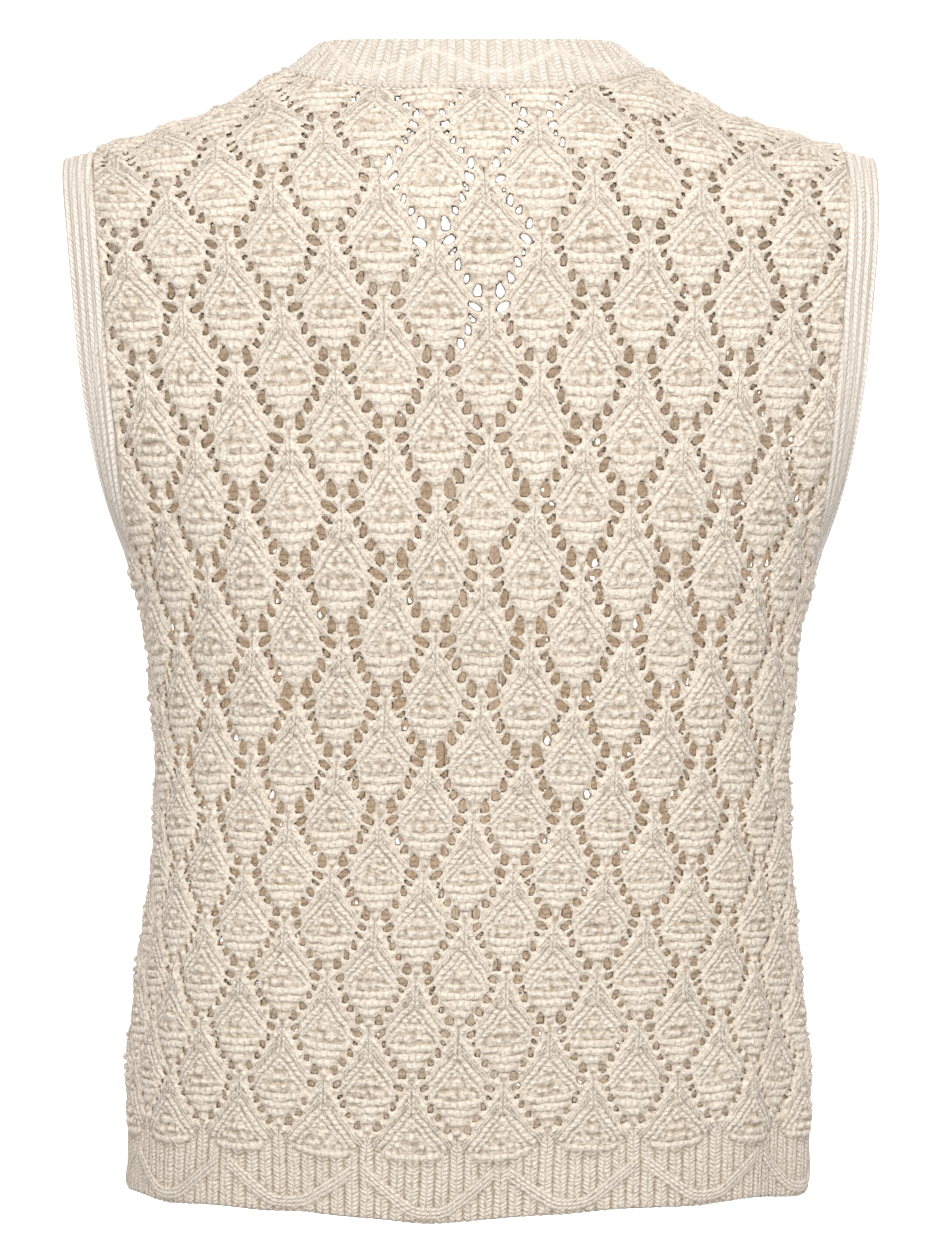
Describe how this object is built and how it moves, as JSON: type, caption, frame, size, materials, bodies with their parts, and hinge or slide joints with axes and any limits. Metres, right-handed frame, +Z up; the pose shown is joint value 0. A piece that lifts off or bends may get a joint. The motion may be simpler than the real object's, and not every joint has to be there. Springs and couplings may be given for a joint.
{
  "type": "sleeveless lace-knit cardigan, worn form with no wearer",
  "caption": "Sleeveless knitted cardigan in cream leaf lace with ribbed neck, armhole, hem and button bands, shown filled out as worn.",
  "frame": {"origin": "midway between the two points where the neck meets the shoulders, where the wearer's shoulders hold it up", "axes": "+Z up along the body, the buttoned front faces -Y, the back faces +Y, +X is the wearer's left"},
  "size_m": [0.3888, 0.2332, 0.5547],
  "materials": {
    "lace_knit": "matte",
    "rib_knit": "matte",
    "button": "satin"
  },
  "bodies": {
    "root": {"back_panel": "lace_knit", "front_left_panel": "lace_knit", "front_right_panel": "lace_knit", "hem_back": "rib_knit", "hem_front_left": "rib_knit", "hem_front_right": "rib_knit", "armhole_band_left": "rib_knit", "armhole_band_right": "rib_knit", "neckband_back": "rib_knit", "front_band_left": "rib_knit", "front_band_right": "rib_knit", "button_1": "button", "button_2": "button", "button_3": "button", "button_4": "button", "button_5": "button"}
  },
  "joints": []
}
